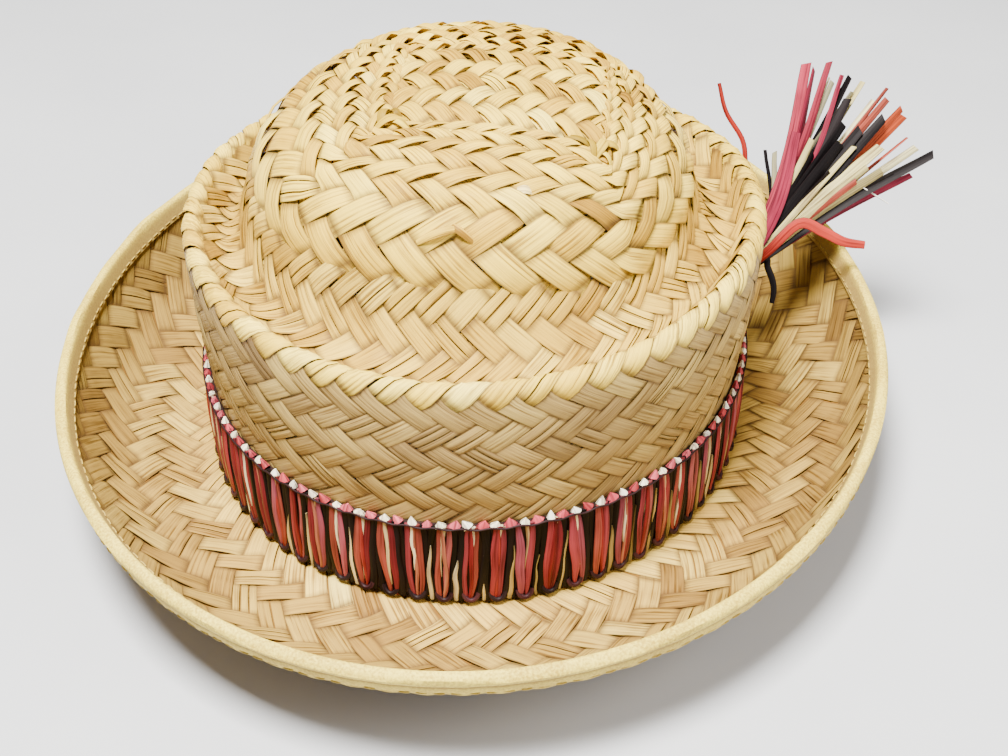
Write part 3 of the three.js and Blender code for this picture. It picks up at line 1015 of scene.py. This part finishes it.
def make_top_thread():
    points, normals = band.read(TOP_THREAD["row"] + TOP_THREAD["wave"] * ripple(GROUPS), ALL_ROUND)
    path = (points + normals * TOP_THREAD["lift"])[None]
    widths = np.full((1, ROUND), TOP_THREAD["thick"])
    dyes = [linear(TOP_THREAD["dye"])]
    return ribbons("top_thread", path, normals[None], widths, TOP_THREAD["thick"], dyes, closed=True)


def make_picots(name, tones, at, wide, tall):
    up = np.linspace(0, 1, 7)
    lean = dice.normal(0, PICOT["lean"], (GROUPS, 1))
    offsets = at + dice.normal(0, PICOT["stray"], (GROUPS, 1)) + lean * up
    points, normals = band.read(np.zeros(offsets.shape), group_shares(offsets))
    rise = tall * dice.uniform(*PICOT["heights"], (GROUPS, 1)) * up
    lift = PICOT["lift"] + dice.normal(0, PICOT["stray"], (GROUPS, 1)) * up
    paths = points + normals * lift[..., None]
    paths[..., 2] += rise - PICOT["sunk"]
    narrow = 1 - (1 - PICOT["tip_wide"]) * up**1.4
    widths = wide * dice.uniform(*PICOT["widths"], (GROUPS, 1)) * narrow
    thick = PICOT["thick"] - (PICOT["thick"] - PICOT["tip_thick"]) * up
    return ribbons(name, paths, normals, widths, thick, picked(tones, GROUPS))


trims = [ring_sheet("band_ground", band, GROUND_SECTION, GROUND_DYE), make_loops(), make_top_thread()]
trims += [make_picots(**picot) for picot in PICOTS]
for trim in trims:
    settle(trim, raffia, "hat_band")

# %% [markdown]
# The tassel is tied to the band on the wearer's left. Its strips fan out in one leaning plane from a seat
# on the band. Each line of the table is one strip: its dye, the angle and length that its tip reaches,
# its width, how far it bows to the side and how far it stands behind the plane, or in front of it where
# that is negative. A table keeps the order of the colours, which chance would mix.

# %% Tassel strips
SEAT = np.array([87.8, 33.16, 34.0])
HEADING, LEAN = math.radians(5), math.radians(-30)
OUT = np.array([math.cos(HEADING), math.sin(HEADING), 0])
BACK = np.array([-math.sin(HEADING) * math.cos(LEAN), math.cos(HEADING) * math.cos(LEAN), math.sin(LEAN)])
UP = np.cross(OUT, BACK)
PINK, ROSE, ORANGE, SALMON = "94303e", "802436", "923a1c", "a04c3a"
BLACK, SOOT, CREAM, IVORY = "0d0a0b", "161011", "b6a86c", "d8cd96"
GREY, RUST = "8a8464", "7a3426"
STRIPS = [
    (PINK, 73.5, 75, 4.6, 4, -2), (ROSE, 70.8, 74, 4.2, 4, -1), (PINK, 68.3, 78, 4.6, 3, -2),
    (ROSE, 69.5, 52, 4.6, 3, -3), (ROSE, 63.6, 76, 2.2, 5, -1), (IVORY, 66.5, 74, 2.0, 2, 2),
    (GREY, 65.0, 73, 2.6, 1, 1), (BLACK, 61.5, 77, 4.0, 1, 0), (SOOT, 58.8, 70, 3.6, 2, -1),
    (CREAM, 57.6, 78, 3.2, 0, 1), (GREY, 58.8, 73, 3.0, -2, 0), (CREAM, 63.0, 52, 3.0, 1, -3),
    (BLACK, 56.0, 62, 4.4, 0, -2), (BLACK, 60.0, 48, 4.6, 1, -3), (BLACK, 54.0, 56, 4.6, 0, -3),
    (BLACK, 51.0, 64, 4.4, 0, -2), (IVORY, 52.8, 75, 2.8, 0, 1), (RUST, 51.8, 81, 1.6, 0, 1),
    (SALMON, 50.2, 78, 3.8, 0, 0), (BLACK, 47.8, 72, 4.0, 0, -2), (CREAM, 50.0, 58, 2.4, 0, -3),
    (ORANGE, 45.8, 79, 3.8, 0, 1), (ORANGE, 43.6, 78, 3.6, 0, 1.5), (BLACK, 47.0, 54, 4.2, 0, -2.5),
    (SALMON, 39.8, 74, 2.2, 0, 1), (CREAM, 43.2, 64, 5.0, -1, -4), (IVORY, 36.0, 74, 4.0, -1, -1),
    (CREAM, 37.0, 59, 5.2, -2, -5), (CREAM, 40.3, 56, 3.4, -1, -4.5), (RUST, 39.8, 50, 2.6, -1, -5.5),
    (BLACK, 33.0, 77, 4.4, -2, -3), (BLACK, 35.0, 62, 4.0, -2, -2), (ROSE, 30.2, 68, 3.0, -2, 1),
    (SOOT, 50.0, 46, 4.4, 0, -3.5), (BLACK, 65.0, 42, 4.4, 2, -3), (GREY, 75.0, 44, 2.4, 5, 2),
    (BLACK, 77.0, 44, 1.6, 6, 3),
]
STRIP = {"stray": 0.5, "sway": 0.8, "twist": 0.35, "curl": 0.5, "narrow": 0.88, "thick": 0.5, "cut": 0.35}
STEEPEST_CUT = 0.5


def fan_points(out, up, back):
    return SEAT + out[..., None] * OUT + up[..., None] * UP + back[..., None] * BACK


def make_strips():
    codes, fans, lengths, wide, bows, backs = zip(*STRIPS)
    fan = np.radians(fans)[:, None]
    reach = np.array(lengths)[:, None]
    share = np.linspace(0, 1, 14)
    stray = dice.normal(0, STRIP["stray"], fan.shape) * share**2
    aside = np.array(bows)[:, None] * hump(share) ** 1.2 + stray
    out = reach * share * np.cos(fan) + aside * np.sin(fan)
    up = reach * share * np.sin(fan) - aside * np.cos(fan)
    sway = dice.normal(0, STRIP["sway"], fan.shape) * np.sin(3 * share)
    back = np.array(backs)[:, None] * np.sqrt(share) + sway
    twist = dice.normal(0, STRIP["twist"], fan.shape) + dice.normal(0, STRIP["curl"], fan.shape) * share
    sideways = (np.sin(fan) * OUT - np.cos(fan) * UP)[:, None]
    facing = -np.cos(twist)[..., None] * BACK + np.sin(twist)[..., None] * sideways
    widths = STRIP["narrow"] * np.array(wide)[:, None] * (0.75 + 0.3 * hump(share) + 0.1 * share)
    dyes = np.array([linear(code) for code in codes])
    cut = np.clip(dice.normal(0, STRIP["cut"], len(STRIPS)), -STEEPEST_CUT, STEEPEST_CUT)
    paths = fan_points(out, up, back)
    return ribbons("tassel_strips", paths, facing, widths, STRIP["thick"], dyes, cut=cut)


settle(make_strips(), raffia, "tassel")

# %% [markdown]
# A few ends went their own way: a red strand that curls up beside the ridge, a coral one that arches over
# and points down, a thin fibre and the end of the black thread that ties the tassel. Each follows a path
# that is drawn in the tassel's own plane. The knot is that black thread, wound in turns round the
# neck of the fan: each turn is a ring on an egg that lies along the fan's middle, and its blunt end sits
# against the band.

# %% Loose ends and knot
LOOSE = [
    {"dye": "801f14", "wide": 1.6, "back": -3,
     "path": [(0, 4), (2, 20), (1.1, 37.8), (-0.1, 46.3), (-5.7, 55.5), (-8.2, 65.2)]},
    {"dye": "962c22", "wide": 3.4, "back": -8,
     "path": [(1, 1), (8.4, 8.2), (18.6, 17.8), (27, 15), (34, 11.6), (41.1, 10.5)]},
    {"dye": "e9e4d2", "wide": 0.5, "back": -3,
     "path": [(20, 18), (32, 30), (36, 32), (40, 30.7), (45.2, 27.6), (50.1, 24.5)]},
    {"dye": "0d0a0b", "wide": 2.1, "back": -3,
     "path": [(4, 7), (8.8, 6.0), (9.1, 3.3), (10.9, -1.5), (11.4, -5.3), (10.7, -9.4)]},
]
LOOSE_THICK = 0.7
KNOT = {
    "fan": math.radians(54), "tilts": [-76, -58, -41, -25, -10, 5, 20, 36, 52], "points": 32, "slant": 0.35,
    "half_long": 6.2, "half_wide": 4.4, "half_thick": 3.4, "thread": 2.1, "flat": 0.8,
    "starts": (0, 6), "tones": ["1c1314", "141011", "241819"],
}


def curve_through(knots, count):
    """A smooth path through drawn points."""
    ends = np.vstack([2 * knots[0] - knots[1], knots, 2 * knots[-1] - knots[-2]])
    place = np.linspace(0, len(knots) - 1.001, count)
    left = place.astype(int)
    t = (place - left)[:, None]
    a, b, c, d = (ends[left + i] for i in range(4))
    return b + (c - a) * t / 2 + (2 * a - 5 * b + 4 * c - d) * t**2 / 2 + (3 * b - a - 3 * c + d) * t**3 / 2


def make_loose():
    share = np.linspace(0, 1, 24)
    drawn = np.array([curve_through(np.array(end["path"], dtype=float), len(share)) for end in LOOSE])
    back = np.array([[end["back"]] for end in LOOSE]) * np.sin(math.pi / 2 * np.minimum(3 * share, 1))
    paths = fan_points(drawn[..., 0], drawn[..., 1], back)
    facing = np.broadcast_to(-BACK, paths.shape)
    widths = np.array([[end["wide"]] for end in LOOSE]) * (0.8 + 0.3 * hump(share))
    dyes = np.array([linear(end["dye"]) for end in LOOSE])
    return ribbons("loose_ends", paths, facing, widths, np.minimum(widths, LOOSE_THICK), dyes)


def make_knot():
    tilt = np.radians(KNOT["tilts"])[:, None]
    turn = 2 * math.pi * np.arange(KNOT["points"]) / KNOT["points"]
    axis = math.cos(KNOT["fan"]) * OUT + math.sin(KNOT["fan"]) * UP
    aside = math.cos(KNOT["fan"]) * UP - math.sin(KNOT["fan"]) * OUT
    start = dice.uniform(*KNOT["starts"], tilt.shape)
    along = KNOT["half_long"] * np.sin(tilt) + KNOT["slant"] * np.cos(turn + start)
    wide = KNOT["half_wide"] * np.cos(tilt) * np.cos(turn)
    thick = KNOT["half_thick"] * np.cos(tilt) * np.sin(turn)
    out = along[..., None] * axis + wide[..., None] * aside + thick[..., None] * BACK
    widths = np.full(wide.shape, KNOT["thread"])
    dyes = picked(KNOT["tones"], len(tilt))
    return ribbons("tassel_knot", SEAT + out, out, widths, KNOT["flat"] * KNOT["thread"], dyes, closed=True)


settle(make_loose(), raffia, "tassel")
settle(make_knot(), raffia, "tassel")

# %% [markdown]
# The stage is a wide pale floor with soft lamps over it, and none of it belongs to the hat. The main lamp
# hangs over the front, so that the dome's strips shine and the brim's bowl stays a little darker. Two
# weaker lamps fill the shadows.

# %% Floor and light
FLOOR = {"size": 8, "grain": 9.0, "detail": 4.0, "roughness": 0.8}
FLOOR_TONES = [(0.3, (0.50, 0.50, 0.50, 1)), (0.7, (0.55, 0.55, 0.545, 1))]
LAMPS = [
    {"place": (-0.16, -0.28, 1.2), "size": 0.4, "power": 74},
    {"place": (0.8, -0.3, 0.6), "size": 0.7, "power": 10},
    {"place": (-0.3, -1.3, 0.6), "size": 0.9, "power": 3},
]
SKY = {"Color": (1.0, 0.98, 0.95, 1), "Strength": 0.2}


def make_floor():
    bpy.ops.mesh.primitive_plane_add(size=FLOOR["size"])
    floor = bpy.context.object
    floor.name = "floor"
    material, shader, wire = new_material("pale_floor")
    grain = wire.node("ShaderNodeTexCoord", {}, {}, out=3).noise(FLOOR["grain"], FLOOR["detail"])
    tone = wire.node("ShaderNodeValToRGB", {"stops": FLOOR_TONES}, {0: grain})
    material.node_tree.links.new(tone.socket, shader.inputs["Base Color"])
    shader.inputs["Roughness"].default_value = FLOOR["roughness"]
    floor.data.materials.append(material)


def make_lamp(place, size, power):
    aim = np.arctan2(np.hypot(place[0], place[1]), place[2])
    turn = math.atan2(place[0], -place[1])
    bpy.ops.object.light_add(type="AREA", location=place, rotation=(aim, 0, turn))
    lamp = bpy.context.object.data
    lamp.size = size
    lamp.energy = power


make_floor()
for lamp in LAMPS:
    make_lamp(**lamp)
world = bpy.data.worlds.new("studio")
world.use_nodes = True
for key, value in SKY.items():
    world.node_tree.nodes["Background"].inputs[key].default_value = value
bpy.context.scene.world = world
print("lamps:", len(LAMPS))
